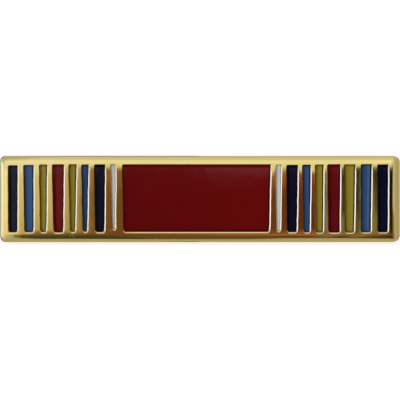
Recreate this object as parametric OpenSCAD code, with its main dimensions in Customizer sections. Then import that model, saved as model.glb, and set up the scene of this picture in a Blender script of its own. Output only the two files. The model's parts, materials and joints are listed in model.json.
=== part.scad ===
// Medal lapel pin: a struck bar with cells of soft enamel and a soldered post.
// Millimetres. The pin stands as it rests on a table: on its lower back edge and
// on the tip of its post, with its face leaning back. X runs along the bar, the
// face looks towards -Y and up, and the table is the plane z = 0.

/* [Bar] */
// Length of the bar, left to right
bar_w = 22.2; // [22:0.1:26]
// Height of the bar, foot to top
bar_h = 4.8; // [4.7:0.1:6]
// Thickness of the struck metal
bar_t = 1.2; // [1:0.05:1.8]
// Radius of the bar's corners, seen from the front
corner_r = 0.28; // [0.1:0.02:0.5]
// Radius of the rounding along the front edge
edge_r = 0.3; // [0.1:0.02:0.4]

/* [Enamel cells] */
// Height of every cell
cell_h = 3.7; // [3:0.02:3.8]
// How far the middle of the cells lies above the middle of the bar
cell_rise = 0.04; // [0:0.02:0.1]
// Depth of a cell below the face of the bar
cell_depth = 0.34; // [0.3:0.02:0.5]
// How far the enamel lies below the face of the bar
enamel_sink = 0.18; // [0.02:0.02:0.22]
// Gap left all round an enamel fill
enamel_gap = 0.02; // [0.01:0.01:0.04]
// Corner radius at the top of a cell
top_r = 0.05; // [0.02:0.01:0.06]
// Corner radius at the foot of a wide cell
foot_r = 0.12; // [0.05:0.01:0.16]

/* [Post] */
// Length of the post behind the bar, tip included
post_len = 8; // [6:0.1:10]
// Radius of the post's shank
shank_r = 0.55; // [0.45:0.05:0.65]
// Radius of the soldered flange
flange_r = 1.6; // [1.2:0.1:2]
// Thickness of the soldered flange
flange_t = 0.35; // [0.2:0.05:0.5]
// Length of the pointed tip
tip_len = 2; // [1.8:0.1:2.5]
// Radius of the blunt end of the tip
tip_r = 0.12; // [0.08:0.02:0.2]
// Depth of the clutch groove
groove_d = 0.18; // [0.17:0.01:0.25]
// Width of the clutch groove, at its floor
groove_w = 0.35; // [0.2:0.05:0.6]
// Shank left between the groove and the tip
groove_to_tip = 0.5; // [0.2:0.1:1]

/* [Hidden] */
$fn = 64;

// Enamel colours
RED = [0.42, 0.06, 0.07];
NAVY = [0.08, 0.09, 0.16];
BLUE = [0.2, 0.33, 0.52];
OLIVE = [0.5, 0.43, 0.15];
WHITE = [0.85, 0.85, 0.86];
GOLD = [0.85, 0.72, 0.35];

// One row for each enamel cell, left to right. Columns: node name, colour, left and
// right edge at the top of the cell, left and right edge at its foot. The edges are
// measured along the bar from its middle.
CELLS = [
    ["left_navy_outer", NAVY, -10.65, -10.13, -10.63, -10.13],
    ["left_blue_outer", BLUE, -9.78, -9.24, -9.69, -9.27],
    ["left_olive_outer", OLIVE, -8.93, -8.47, -8.84, -8.52],
    ["left_red", RED, -8.17, -7.59, -8.08, -7.59],
    ["left_olive_inner", OLIVE, -7.29, -6.87, -7.17, -6.91],
    ["left_blue_inner", BLUE, -6.54, -6.20, -6.49, -6.25],
    ["left_navy_inner", NAVY, -5.84, -5.31, -5.80, -5.32],
    ["left_white", WHITE, -4.93, -4.65, -4.85, -4.70],
    ["centre_red", RED, -4.32, 3.88, -4.22, 3.82],
    ["right_white", WHITE, 4.20, 4.49, 4.26, 4.44],
    ["right_navy_inner", NAVY, 4.80, 5.38, 4.86, 5.33],
    ["right_blue_inner", BLUE, 5.71, 6.10, 5.76, 6.05],
    ["right_olive_inner", OLIVE, 6.40, 6.82, 6.46, 6.81],
    ["right_red", RED, 7.07, 7.76, 7.15, 7.70],
    ["right_olive_outer", OLIVE, 8.01, 8.59, 8.07, 8.54],
    ["right_blue_outer", BLUE, 8.96, 9.48, 8.96, 9.47],
    ["right_navy_outer", NAVY, 9.88, 10.43, 9.90, 10.39]
];
function cell_name(c) = c[0];
function cell_colour(c) = c[1];
function top_left(c) = c[2];
function top_right(c) = c[3];
function foot_left(c) = c[4];
function foot_right(c) = c[5];

// Straight steps that round a small corner
corner_steps = 4;
// How far cutting and soldered shapes run past the faces that they meet
overrun = 0.1;

cell_z = bar_h / 2 + cell_rise;
enamel_t = cell_depth - enamel_sink - enamel_gap;
groove_end = post_len - tip_len - groove_to_tip;
groove_start = groove_end - groove_w - 2 * groove_d;

// The lean that brings the tip of the post down to the table
lean = atan((bar_h / 2 - tip_r) / post_len);
front_y = -(bar_t - edge_r) * cos(lean) + edge_r * sin(lean) - edge_r;
tip_y = post_len * cos(lean) + (bar_h / 2 + tip_r) * sin(lean);

// A narrow cell is nearly round at its foot
narrow_share = 0.42;
function foot_radius(c) = min(foot_r, narrow_share * (foot_right(c) - foot_left(c)));

function unit(v) = v / norm(v);

// The points of an arc of radius r that rounds the corner p between points a and b
function rounded_corner(a, p, b, r) =
    let (
        u = unit(a - p),
        v = unit(b - p),
        half = acos(u * v) / 2,
        centre = p + unit(u + v) * r / sin(half),
        start = p + u * r / tan(half) - centre,
        turn = cross(start, p + v * r / tan(half) - centre) > 0 ? 1 : -1,
        sweep = turn * (180 - 2 * half)
    )
    [
        for (i = [0 : corner_steps])
            let (w = sweep * i / corner_steps)
            centre + [start.x * cos(w) - start.y * sin(w), start.x * sin(w) + start.y * cos(w)]
    ];

// A cell's outline seen from the front, grown outwards by the gap
module cell_outline(c, grow) {
    z0 = cell_z - cell_h / 2 - grow;
    z1 = cell_z + cell_h / 2 + grow;
    p = [
        [foot_left(c) - grow, z0],
        [foot_right(c) + grow, z0],
        [top_right(c) + grow, z1],
        [top_left(c) - grow, z1]
    ];
    foot = foot_radius(c) + grow;
    r = [foot, foot, top_r + grow, top_r + grow];
    polygon([
        for (i = [0 : 3])
            each rounded_corner(p[(i + 3) % 4], p[i], p[(i + 1) % 4], r[i])
    ]);
}

// Stands a shape drawn as seen from the front, with depth from y = -front to y = -back
module from_front(front, back) {
    translate([0, -back, 0])
        rotate([90, 0, 0])
            linear_extrude(height = front - back)
                children();
}

// A length of metal, x by z, whose two front corners are rounded: y runs backwards
module edge_section(length) {
    inner = length / 2 - edge_r;
    translate([-length / 2, edge_r - bar_t])
        square([length, bar_t - edge_r]);
    translate([-inner, -bar_t])
        square([2 * inner, bar_t]);
    for (side = [-1, 1])
        translate([side * inner, edge_r - bar_t])
            circle(edge_r);
}

module bar_blank() {
    inner_w = bar_w - 2 * corner_r;
    inner_h = bar_h - 2 * corner_r;
    intersection() {
        from_front(bar_t, 0)
            translate([0, bar_h / 2]) {
                square([inner_w, bar_h], center = true);
                square([bar_w, inner_h], center = true);
                for (x = [-1, 1], z = [-1, 1])
                    translate([x * inner_w / 2, z * inner_h / 2])
                        circle(corner_r);
            }
        translate([0, 0, -overrun])
            linear_extrude(height = bar_h + 2 * overrun)
                edge_section(bar_w);
        translate([-bar_w / 2 - overrun, 0, bar_h / 2])
            rotate([0, 90, 0])
                linear_extrude(height = bar_w + 2 * overrun)
                    edge_section(bar_h);
    }
}

module bar_plate() {
    difference() {
        bar_blank();
        for (c = CELLS)
            from_front(bar_t + overrun, bar_t - cell_depth)
                cell_outline(c, enamel_gap);
    }
}

module post() {
    translate([0, 0, bar_h / 2])
        rotate([-90, 0, 0])
            rotate_extrude()
                polygon([
                    [0, -overrun],
                    [flange_r, -overrun],
                    [flange_r, flange_t],
                    [shank_r, flange_t],
                    [shank_r, groove_start],
                    [shank_r - groove_d, groove_start + groove_d],
                    [shank_r - groove_d, groove_end - groove_d],
                    [shank_r, groove_end],
                    [shank_r, post_len - tip_len],
                    [tip_r, post_len],
                    [0, post_len]
                ]);
}

// Leans a shape back onto the tip of the post, and centres the pin over the origin
module at_rest() {
    translate([0, -(front_y + tip_y) / 2, 0])
        rotate([-lean, 0, 0])
            children();
}

module bar_with_post() {
    color(GOLD)
        at_rest() {
            bar_plate();
            post();
        }
}

module enamel(c) {
    bed = bar_t - cell_depth + enamel_gap;
    color(cell_colour(c))
        at_rest()
            from_front(bed + enamel_t, bed)
                cell_outline(c, 0);
}

bar_with_post();
for (c = CELLS)
    enamel(c);
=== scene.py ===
import json
import math

import bmesh
import bpy
import numpy as np
from mathutils import Matrix, Vector, noise

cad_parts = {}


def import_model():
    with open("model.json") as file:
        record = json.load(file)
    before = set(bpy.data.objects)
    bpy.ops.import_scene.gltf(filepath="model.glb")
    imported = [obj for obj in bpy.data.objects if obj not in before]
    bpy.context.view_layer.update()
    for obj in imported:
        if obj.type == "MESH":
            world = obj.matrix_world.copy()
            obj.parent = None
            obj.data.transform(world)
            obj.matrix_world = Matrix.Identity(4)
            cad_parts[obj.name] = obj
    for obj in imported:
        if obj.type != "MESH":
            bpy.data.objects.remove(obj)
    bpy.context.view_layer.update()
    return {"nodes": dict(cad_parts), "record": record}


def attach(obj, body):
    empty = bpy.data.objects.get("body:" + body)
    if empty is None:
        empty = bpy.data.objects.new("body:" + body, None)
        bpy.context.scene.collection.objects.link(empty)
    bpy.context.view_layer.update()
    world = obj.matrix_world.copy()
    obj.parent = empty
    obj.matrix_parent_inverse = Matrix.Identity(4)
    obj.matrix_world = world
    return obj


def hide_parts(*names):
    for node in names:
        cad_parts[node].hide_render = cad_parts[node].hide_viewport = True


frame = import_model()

scene = bpy.context.scene
millimetre = 0.001
sharpAngle = math.radians(50)  # edges that turn further than this stay sharp

# The bar's own frame, in millimetres: x along the bar, y backwards from its back face, z up its height.
# The pin rests on the lower back edge and the tip of the post, so this frame leans in the room.
backFace = next(m for m in frame["record"]["mounts"] if m["name"] == "back_face")
backwards = Vector(backFace["axis"])
upwards = Vector((0, -backwards.z, backwards.y))
onBack = Vector(backFace["pos_m"])
foot = onBack - upwards * (onBack.z / upwards.z)
foot.x = 0
turn = Matrix((Vector((1, 0, 0)), backwards, upwards)).transposed().to_4x4()
barToRoom = Matrix.Translation(foot) @ turn @ Matrix.Scale(millimetre, 4)
roomToBar = barToRoom.inverted()
lean = math.atan2(-backwards.z, backwards.y)


def barPoints(node):
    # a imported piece's corners in the bar's own frame
    return np.array([roomToBar @ v.co for v in frame["nodes"][node].data.vertices])


barNode = "bar_with_post"
nearBack = 0.01  # a corner up to this far behind the back face still belongs to the bar
metal = barPoints(barNode)
halfLength = metal[:, 0].max()
barHeight = metal[metal[:, 1] <= nearBack][:, 2].max()
faceDepth = -metal[:, 1].min()
barMiddle = barHeight / 2
enamelSlots = {s["node"]: s["material_slot"] for s in frame["record"]["subparts"] if s["node"] != barNode}


def fillShape(node):
    # the straight sides of an enamel fill, its foot and top, and the depth of its bed
    corners = barPoints(node)
    low, high = corners[:, 2].min(), corners[:, 2].max()
    levels = (0.25, 0.75)  # shares of the height where the sides are straight
    reach = []
    for share in levels:
        level = low + share * (high - low)
        crossings = []
        for edge in frame["nodes"][node].data.edges:
            a, b = (corners[i] for i in edge.vertices)
            if (a[2] - level) * (b[2] - level) < 0:
                crossings.append(a[0] + (b[0] - a[0]) * (level - a[2]) / (b[2] - a[2]))
        reach.append((min(crossings), max(crossings)))
    shape = {"Foot": low, "Top": high, "Bed": corners[:, 1].max()}
    for end, share in (("Foot", 0), ("Top", 1)):
        onwards = (share - levels[0]) / (levels[1] - levels[0])
        for side, lower, upper in zip(("Left ", "Right "), *reach):
            shape[side + end] = lower + (upper - lower) * onwards
    return shape


def meanWidth(shape):
    return (shape["Right Foot"] + shape["Right Top"] - shape["Left Foot"] - shape["Left Top"]) / 2


fills = {node: fillShape(node) for node in enamelSlots}
fillOrder = sorted(fills, key=lambda node: fills[node]["Left Foot"])
print("frame read:", len(fills), "cells, lean", round(math.degrees(lean), 2), "degrees")


def feed(tree, socket, item):
    # gives a socket a value, a Term or another socket
    item = item.value if isinstance(item, Term) else item
    if isinstance(item, bpy.types.NodeSocket):
        tree.links.new(item, socket)
    else:
        socket.default_value = item


def formula(operation):
    # a method that joins Terms and numbers by one operation
    return lambda self, *others: self.join(operation, *others)


class Term:
    # a node's output that takes part in a formula
    def __init__(self, tree, value):
        self.tree = tree
        self.value = value

    def join(self, operation, *others):
        node = self.tree.nodes.new("ShaderNodeMath")
        node.operation = operation
        for socket, item in zip(node.inputs, (self, *others)):
            feed(self.tree, socket, item)
        return Term(self.tree, node.outputs[0])

    def __rsub__(self, other):
        return self.join("MULTIPLY_ADD", -1, other)

    def between(self, low, high):
        return self.most(low).least(high)

    __add__ = __radd__ = formula("ADD")
    __sub__ = formula("SUBTRACT")
    __mul__ = __rmul__ = formula("MULTIPLY")
    __truediv__ = formula("DIVIDE")
    __abs__ = formula("ABSOLUTE")
    least = formula("MINIMUM")
    most = formula("MAXIMUM")
    root = formula("SQRT")
    sine = formula("SINE")
    cosine = formula("COSINE")


def addNode(tree, kind, settings=None, **links):
    # a node with its settings and its named inputs, each a value, a Term or a socket
    node = tree.nodes.new(kind)
    for name, value in (settings or {}).items():
        setattr(node, name, value)
    for name, item in links.items():
        feed(tree, node.inputs[name.replace("_", " ")], item)
    return node


def vector(tree, *items):
    # a vector of up to three values or Terms
    return addNode(tree, "ShaderNodeCombineXYZ", **dict(zip("XYZ", items))).outputs[0]


def partsOf(tree, joined):
    # the three numbers of a vector
    return [Term(tree, s) for s in addNode(tree, "ShaderNodeSeparateXYZ", Vector=joined).outputs]


def newGroup(name, kind, inputs, outputs):
    # a node group with named sockets, and its inputs as Terms
    tree = bpy.data.node_groups.new(name, kind)
    for way, sockets in (("INPUT", inputs), ("OUTPUT", outputs)):
        for socketName, socketType in sockets.items():
            tree.interface.new_socket(socketName, in_out=way, socket_type="NodeSocket" + socketType)
    given = tree.nodes.new("NodeGroupInput")
    result = tree.nodes.new("NodeGroupOutput")
    return tree, {s.name: Term(tree, s) for s in given.outputs if s.name}, result


def useGroup(tree, group, **links):
    # places a node group, whose inputs are named here in camelCase, and returns its outputs
    node = tree.nodes.new("GeometryNodeGroup" if tree.type == "GEOMETRY" else "ShaderNodeGroup")
    node.node_tree = group
    names = {s.name.replace(" ", "").lower(): s for s in node.inputs}
    for name, item in links.items():
        feed(tree, names[name.lower()], item)
    return [Term(tree, s) for s in node.outputs]


def eased(first, second, share):
    # first where share is 0, second where it is 1
    return first + (second - first) * share


# Shape of a struck cell. Millimetres.
cell = {
    "depth": 0.34,  # of the bed below the face
    "footRadius": 0.12,  # corner radius at the foot of a wide cell
    "narrowShare": 0.42,  # and of a narrow one, as a share of its width
    "topRadius": 0.05,
    "leastRadius": 0.005,
    "wave": 0.024,  # unevenness of the struck edges
    "waveSize": 1.5,  # how many waves go into a millimetre
    "waveRows": (0.37, 5.71),  # seeds of the right and the left side
    "waveSeeds": (1.3, 3.7),  # the first cell's seed, and the step to the next
    "draft": 0.08,  # how far the side walls slope inwards, down to the bed
    "draftUp": 0.03,  # and the walls at the top and the foot
    "wallSlip": 0.045,  # how much further the left wall slopes, and the right wall less
    "wallSlipUp": 0.01,  # and the top wall, and the foot's
    "slopeWidths": (0.2, 0.45),  # narrower cells than these widths have steeper walls
    "leastSlope": 0.1,
    "wideFrom": 1.0,  # width from which a cell is a wide one
    "outerFoot": 0.022,  # how much lower the foot of the narrow cells lies
    "shoulder": 0.05,  # width of the rounded shoulder round a cell
    "shoulderSlip": 0.023,  # how much wider it is at the right and the foot, and narrower opposite
    "shoulderDrop": 0.06,
    "footDrop": 0.5,  # how much shallower the shoulder is at the foot, as a share
    "footRub": 0.25,  # how much of the shoulders' painted highlight reaches the foot
    "footTurn": 8,  # how sharply the foot's shoulder gives way to the side's at a corner
    "sideTurn": 4,  # and the right and the foot to the left and the top
    "grimeThins": 3,  # how soon the painted shade in the gap thins out up the shoulder
    "chamfer": 0.75,  # 0 for a round shoulder, 1 for a straight one
    "crownDrop": 0.0001,  # how much lower a ridge is at its sides
    "margin": 0.14,  # metal round the outermost cells that their own tiles hold
    "cornerZone": 0.24,  # length of edge at each corner that gets finer steps
    "cornerSteps": 6,
    "stepsUp": 44,
    "stepsNarrow": 12,
    "stepsWide": 84,
    "shoulderSteps": 7.0,
    "crownSteps": 4.0,
}
# How the struck cells and their fills differ from the drawn ones. A trim is in millimetres to the right
# or up: the left side at the top and the foot, the right side at the top and the foot, the top edge and
# the foot edge. A tone makes the colour darker or paler; a sheen is a painted reflection, a pale band in
# it.
cells = {
    "left_navy_outer": {"trim": (0.022, 0.015, 0, -0.004, -0.045, -0.019), "footDrop": 0.7},
    "left_blue_outer": {"trim": (-0.004, -0.032, -0.006, 0.02, -0.028, -0.007), "sheen": 0.012},
    "left_olive_outer": {"trim": (0.016, -0.009, -0.025, -0.014, -0.002, 0), "tone": 0.95},
    "left_red": {"trim": (-0.021, -0.026, 0.028, -0.008, 0.006, -0.021)},
    "left_olive_inner": {"trim": (0.007, -0.02, 0.007, -0.023, 0.012, 0.009), "tone": 0.87},
    "left_blue_inner": {"trim": (-0.02, 0.007, 0.002, -0.018, -0.003, 0.017), "tone": 0.8},
    "left_navy_inner": {"trim": (-0.014, 0.01, 0.031, 0.01, 0.003, -0.005)},
    "left_white": {"trim": (-0.02, 0.025, -0.052, -0.025, 0.018, 0.15), "tone": 0.94},
    "centre_red": {"trim": (0.016, -0.006, 0.02, 0.003, 0.006, -0.013)},
    "right_white": {"trim": (0.004, 0, -0.018, -0.017, -0.01, 0.05), "tone": 1.04},
    "right_navy_inner": {"trim": (-0.003, -0.02, 0.033, 0.02, -0.022, -0.008)},
    "right_blue_inner": {
        "trim": (-0.034, 0.004, 0.025, 0.016, -0.01, -0.02),
        "tone": 1.04,
        "footDrop": 0.35,
    },
    "right_olive_inner": {"trim": (-0.012, -0.028, 0.006, -0.003, -0.003, -0.03), "footDrop": 0.3},
    "right_red": {"trim": (0.004, -0.014, 0, 0.035, 0.012, -0.03), "tone": 0.94, "footDrop": 0.4},
    "right_olive_outer": {
        "trim": (-0.02, -0.02, 0.008, -0.018, 0.003, -0.028),
        "tone": 1.03,
        "sheen": 0.012,
        "footDrop": 0.3,
    },
    "right_blue_outer": {
        "trim": (-0.033, -0.033, 0.025, -0.017, 0.017, -0.012),
        "tone": 1.02,
        "sheen": 0.05,
        "footDrop": 0.1,
    },
    "right_navy_outer": {"trim": (-0.036, -0.04, -0.006, 0.012, 0, -0.012), "footDrop": 0.1},
}


def floats(*names):
    return dict.fromkeys(names, "Float")


def socketValues(source, *names):
    # entries of a dictionary under the names of their sockets: topRadius becomes Top Radius
    return {name: source[name[0].lower() + name[1:].replace(" ", "")] for name in names}


outlineInputs = floats(
    "Left Foot", "Right Foot", "Left Top", "Right Top", "Foot", "Top",
    "Foot Radius", "Top Radius", "Wave", "Wave Size", "Seed",
)
cellInputs = {
    **outlineInputs,
    "Steps Across": "Int",
    "Steps Up": "Int",
    "Material": "Material",
    **floats("Fine Across", "Fine Up", "Fine Share Across", "Fine Share Up"),  # steps near the corners
    **floats("Draft", "Draft Up", "Wall Slip", "Wall Slip Up", "Surface", "Bed"),
}


def cellOutline():
    # a point of a cell's rounded and slightly wavy outline: grown outwards by Grow, made taller
    # by Stretch, and slipped to the right and down
    tree, given, result = newGroup(
        "cellOutline",
        "GeometryNodeTree",
        {**floats("Across", "Up", "Grow", "Stretch", "Slip", "Slip Up"), **outlineInputs},
        floats("X", "Z"),
    )
    grow = given["Grow"]
    leftFoot, rightFoot = given["Left Foot"], given["Right Foot"]
    leftTop, rightTop = given["Left Top"], given["Right Top"]
    halfWidth = (rightFoot + rightTop - leftFoot - leftTop) * 0.25
    flare = (rightTop - leftTop - rightFoot + leftFoot) * 0.25
    middleFoot = (leftFoot + rightFoot) * 0.5
    middleTop = (leftTop + rightTop) * 0.5
    halfHeight = (given["Top"] - given["Foot"]) * 0.5
    grownHeight = halfHeight + grow + given["Stretch"]
    plainX = given["Across"] * (halfWidth + grow)
    plainZ = given["Up"] * grownHeight
    isTop = plainZ.join("GREATER_THAN", 0)
    radius = eased(given["Foot Radius"], given["Top Radius"], isTop) + grow
    radius = radius.most(cell["leastRadius"])
    beyondX = (abs(plainX) - (halfWidth + grow - radius)).most(0)
    beyondZ = (abs(plainZ) - (grownHeight - radius)).most(0)
    shareX, shareZ = beyondX / radius, beyondZ / radius
    roundX = abs(plainX) - beyondX + beyondX * (1 - shareZ * shareZ * 0.5).root()
    roundZ = abs(plainZ) - beyondZ + beyondZ * (1 - shareX * shareX * 0.5).root()
    x = plainX.join("SIGN") * roundX
    z = plainZ.join("SIGN") * roundZ
    rise = z / halfHeight
    side = (x / halfWidth).between(-1, 1)
    x = eased(middleFoot, middleTop, (rise + 1) * 0.5) + x + side * flare * rise

    def edgeWave(row):
        # slow unevenness along one side of the cell
        place = vector(tree, given["Seed"] + row, z * given["Wave Size"])
        kind = {"noise_dimensions": "2D"}
        look = {"Scale": 1.0, "Detail": 3.0, "Roughness": 0.55}
        waves = addNode(tree, "ShaderNodeTexNoise", kind, Vector=place, **look)
        return Term(tree, waves.outputs[0]) - 0.5

    rightWave, leftWave = (edgeWave(row) for row in cell["waveRows"])
    sway = rightWave * (1 + side) + leftWave * (1 - side)
    x = x + sway * given["Wave"] + given["Slip"]
    z = (given["Foot"] + given["Top"]) * 0.5 + z - given["Slip Up"]
    feed(tree, result.inputs["X"], x)
    feed(tree, result.inputs["Z"], z)
    return tree


outlineGroup = cellOutline()


def outlinePoint(given, across, up, down, grow, slip):
    # a point of the outline; down is 0 at the top of the walls and 1 at the bed
    return useGroup(
        across.tree,
        outlineGroup,
        across=across,
        up=up,
        grow=grow - given["Draft"] * down,
        stretch=(given["Draft"] - given["Draft Up"]) * down,
        slip=slip + given["Wall Slip"] * down,
        slipUp=slip + given["Wall Slip Up"] * down,
        **{n.replace(" ", ""): given[n] for n in outlineInputs},
    )


def gridShares(given, stepAcross, stepUp):
    # where a step lies from -1 to 1, across and up, with finer steps at the ends
    for step, way in ((stepAcross, "Across"), (stepUp, "Up")):
        steps, fineSteps, fineShare = (given[kind + way] for kind in ("Steps ", "Fine ", "Fine Share "))
        first = (step / fineSteps).between(0, 1)
        middle = ((step - fineSteps) / (steps - 2 * fineSteps)).between(0, 1)
        last = ((step - steps + fineSteps) / fineSteps).between(0, 1)
        yield first * fineShare + middle * (2 - 2 * fineShare) + last * fineShare - 1


def finishTree(tree, given, result, geometry, place, **stored):
    # stores values for the material, moves the points into place and sets the material
    for name, value in stored.items():
        kind = {"data_type": "FLOAT_VECTOR", "domain": "POINT"}
        kept = addNode(
            tree, "GeometryNodeStoreNamedAttribute", kind, Geometry=geometry, Name=name, Value=value
        )
        geometry = kept.outputs[0]
    moved = addNode(tree, "GeometryNodeSetPosition", Geometry=geometry, Position=place)
    real = addNode(tree, "GeometryNodeRealizeInstances", Geometry=moved.outputs[0])
    dressed = addNode(
        tree, "GeometryNodeSetMaterial", Geometry=real.outputs[0], Material=given["Material"]
    )
    feed(tree, result.inputs[0], dressed.outputs[0])
    return tree


def cellWalls():
    # the struck metal of one cell: bed, wall, shoulder and the crown of the ridges round it
    tree, given, result = newGroup(
        "cellWalls",
        "GeometryNodeTree",
        {
            **cellInputs,
            **floats("Tile Left", "Tile Right", "Tile Foot", "Tile Top"),
            **floats("Shoulder", "Shoulder Slip", "Shoulder Drop", "Foot Drop", "Foot Rub"),
            **floats("Chamfer", "Crown Drop", "Shoulder Steps", "Crown Steps"),
        },
        {"Geometry": "Geometry"},
    )
    across, up = given["Steps Across"], given["Steps Up"]
    around = (across + up) * 2
    rings = given["Shoulder Steps"] + given["Crown Steps"] + 1
    tube = addNode(tree, "GeometryNodeMeshCylinder", Vertices=around, Side_Segments=rings)
    opened = addNode(
        tree,
        "GeometryNodeDeleteGeometry",
        {"domain": "FACE"},
        Geometry=tube.outputs["Mesh"],
        Selection=tube.outputs["Bottom"],
    )
    index = Term(tree, addNode(tree, "GeometryNodeInputIndex").outputs[0])
    ring = (index / around).join("FLOOR")
    step = index - ring * around
    stepAcross = step.between(0, across) - (step - across - up).between(0, across)
    stepUp = (step - across).between(0, up) - (step - across * 2 - up).between(0, up)
    shareAcross, shareUp = gridShares(given, stepAcross, stepUp)
    wall = ring.between(0, 1)
    arc = ((ring - 1) / given["Shoulder Steps"]).between(0, 1)
    crown = ((ring - 1 - given["Shoulder Steps"]) / given["Crown Steps"]).between(0, 1)
    crown = crown * crown
    quarter = math.pi / 2
    out = eased(1 - (arc * quarter).cosine(), arc, given["Chamfer"])
    rise = eased((arc * quarter).sine(), arc, given["Chamfer"])
    grow, slip = given["Shoulder"] * out, given["Shoulder Slip"] * out
    x, z = outlinePoint(given, shareAcross, shareUp, 1 - wall, grow, slip)
    x = eased(x, eased(given["Tile Left"], given["Tile Right"], (shareAcross + 1) * 0.5), crown)
    z = eased(z, eased(given["Tile Foot"], given["Tile Top"], (shareUp + 1) * 0.5), crown)
    atFoot = ((abs(shareAcross) + shareUp) * -cell["footTurn"] + 1).between(0, 1)
    drop = given["Shoulder Drop"] * (1 - atFoot * given["Foot Drop"])
    sides = given["Crown Drop"] * (1 - crown) * (1 - crown)
    y = eased(given["Bed"], given["Surface"] + drop, wall) - drop * rise + sides * rise
    # Painted light on the shoulders: a highlight on those at the right and the foot, which face the light,
    # and painted shade, as values below zero, on those at the left and the top
    facing = ((shareAcross - shareUp) * cell["sideTurn"]).between(0, 1)
    rubbed = (arc * math.pi).sine().root() * facing * (1 - atFoot * (1 - given["Foot Rub"]))
    rubbed = rubbed - (1 - facing) * (1 - arc)
    # painted shade in the gap at the foot of the right and the foot walls
    gapShaded = facing * (1 - arc * cell["grimeThins"]).most(0)
    # kept for the gold: the painted shoulder light, how near the wall a point lies, and the painted shade
    # in the gap
    worn = vector(tree, rubbed, 1 - arc, gapShaded)
    return finishTree(tree, given, result, opened.outputs[0], vector(tree, x, y, z), worn=worn)


def enamelFill():
    # a fill of enamel: it has climbed the walls a little while it was wet
    tree, given, result = newGroup(
        "enamelFill",
        "GeometryNodeTree",
        {
            **cellInputs,
            **floats("Face Share", "Bed Share", "Clearance", "Gap Slip", "Pillow Along", "Pillow Up"),
            **floats("Half Length", "Middle", "Climb", "Climb Width", "Swell", "Swell Size"),
            **floats("Tone", "Sheen"),
        },
        {"Geometry": "Geometry"},
    )
    across, up = given["Steps Across"], given["Steps Up"]
    block = addNode(
        tree,
        "GeometryNodeMeshCube",
        Size=(2, 2, 2),
        Vertices_X=across + 1,
        Vertices_Y=3,  # face, middle and bed
        Vertices_Z=up + 1,
    )
    gridX, gridY, gridZ = partsOf(tree, addNode(tree, "GeometryNodeInputPosition").outputs[0])
    shareAcross, shareUp = gridShares(given, (gridX + 1) * 0.5 * across, (gridZ + 1) * 0.5 * up)
    back = (gridY + 1) * 0.5
    down = eased(given["Face Share"], given["Bed Share"], back)
    grow, slip = given["Clearance"] * -1, given["Gap Slip"] * -1
    x, z = outlinePoint(given, shareAcross, shareUp, down, grow, slip)
    width = (given["Right Foot"] + given["Right Top"] - given["Left Foot"] - given["Left Top"]) * 0.25
    height = (given["Top"] - given["Foot"]) * 0.5
    toSide = (1 - abs(shareAcross)) * width
    toEnd = (1 - abs(shareUp)) * height
    nearSide = (1 - toSide / given["Climb Width"]).most(0) * (shareAcross * -cell["sideTurn"]).between(0, 1)
    nearEnd = (1 - toEnd / given["Climb Width"]).most(0) * (shareUp * cell["sideTurn"]).between(0, 1)
    climb = (nearSide * nearSide + nearEnd * nearEnd).least(1) * given["Climb"]
    place = vector(tree, x, z, given["Seed"])
    waves = addNode(tree, "ShaderNodeTexNoise", Vector=place, Scale=given["Swell Size"], Detail=2.0)
    swell = (Term(tree, waves.outputs[0]) - 0.5) * given["Swell"]
    alongShare = x / given["Half Length"]
    upShare = z / given["Middle"] - 1
    pillow = given["Pillow Along"] * alongShare * alongShare + given["Pillow Up"] * upShare * upShare
    y = eased(given["Surface"] - climb + swell + pillow, given["Bed"], back)
    inCell = vector(tree, shareAcross, shareUp, toSide.least(toEnd))
    look = vector(tree, given["Tone"], given["Sheen"])
    place = vector(tree, x, y, z)
    return finishTree(tree, given, result, block.outputs[0], place, inCell=inCell, look=look)


def makeMesh(tree, name, values):
    # runs a geometry tree with these input values, and returns its result as a plain mesh
    holder = bpy.data.objects.new(name + "Holder", bpy.data.meshes.new(name + "Seed"))
    scene.collection.objects.link(holder)
    modifier = holder.modifiers.new("build", "NODES")
    modifier.node_group = tree
    for socket in tree.interface.items_tree:
        if socket.in_out == "INPUT":
            modifier[socket.identifier] = values[socket.name]
    graph = bpy.context.evaluated_depsgraph_get()
    mesh = bpy.data.meshes.new_from_object(holder.evaluated_get(graph), depsgraph=graph)
    holder.modifiers.remove(modifier)
    bpy.data.objects.remove(holder)
    mesh.name = name
    return mesh


def makePiece(mesh, name, slot, *nodes):
    # stands a mesh made in the bar's own frame in the room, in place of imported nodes
    mesh.shade_smooth()
    mesh.set_sharp_from_angle(angle=sharpAngle)
    mesh.transform(barToRoom)
    piece = bpy.data.objects.new(name, mesh)
    scene.collection.objects.link(piece)
    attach(piece, "root")
    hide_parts(*nodes)
    return piece


def mapped(tree):
    # Object coordinates in millimetres along the bar's own axes
    mapping = addNode(
        tree,
        "ShaderNodeMapping",
        {"vector_type": "TEXTURE"},
        Vector=addNode(tree, "ShaderNodeTexCoord").outputs["Object"],
        Location=foot,
        Rotation=(-lean, 0, 0),
        Scale=(millimetre,) * 3,
    )
    return Term(tree, mapping.outputs[0])


def rising(value, start, end):
    # 0 before start, 1 after end, smooth between
    smooth = {"interpolation_type": "SMOOTHSTEP"}
    node = addNode(value.tree, "ShaderNodeMapRange", smooth, Value=value, From_Min=start, From_Max=end)
    return Term(value.tree, node.outputs[0])


seedSpread = (1, 0.7, 1.3)  # how a seed moves a noise along the three axes


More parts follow.
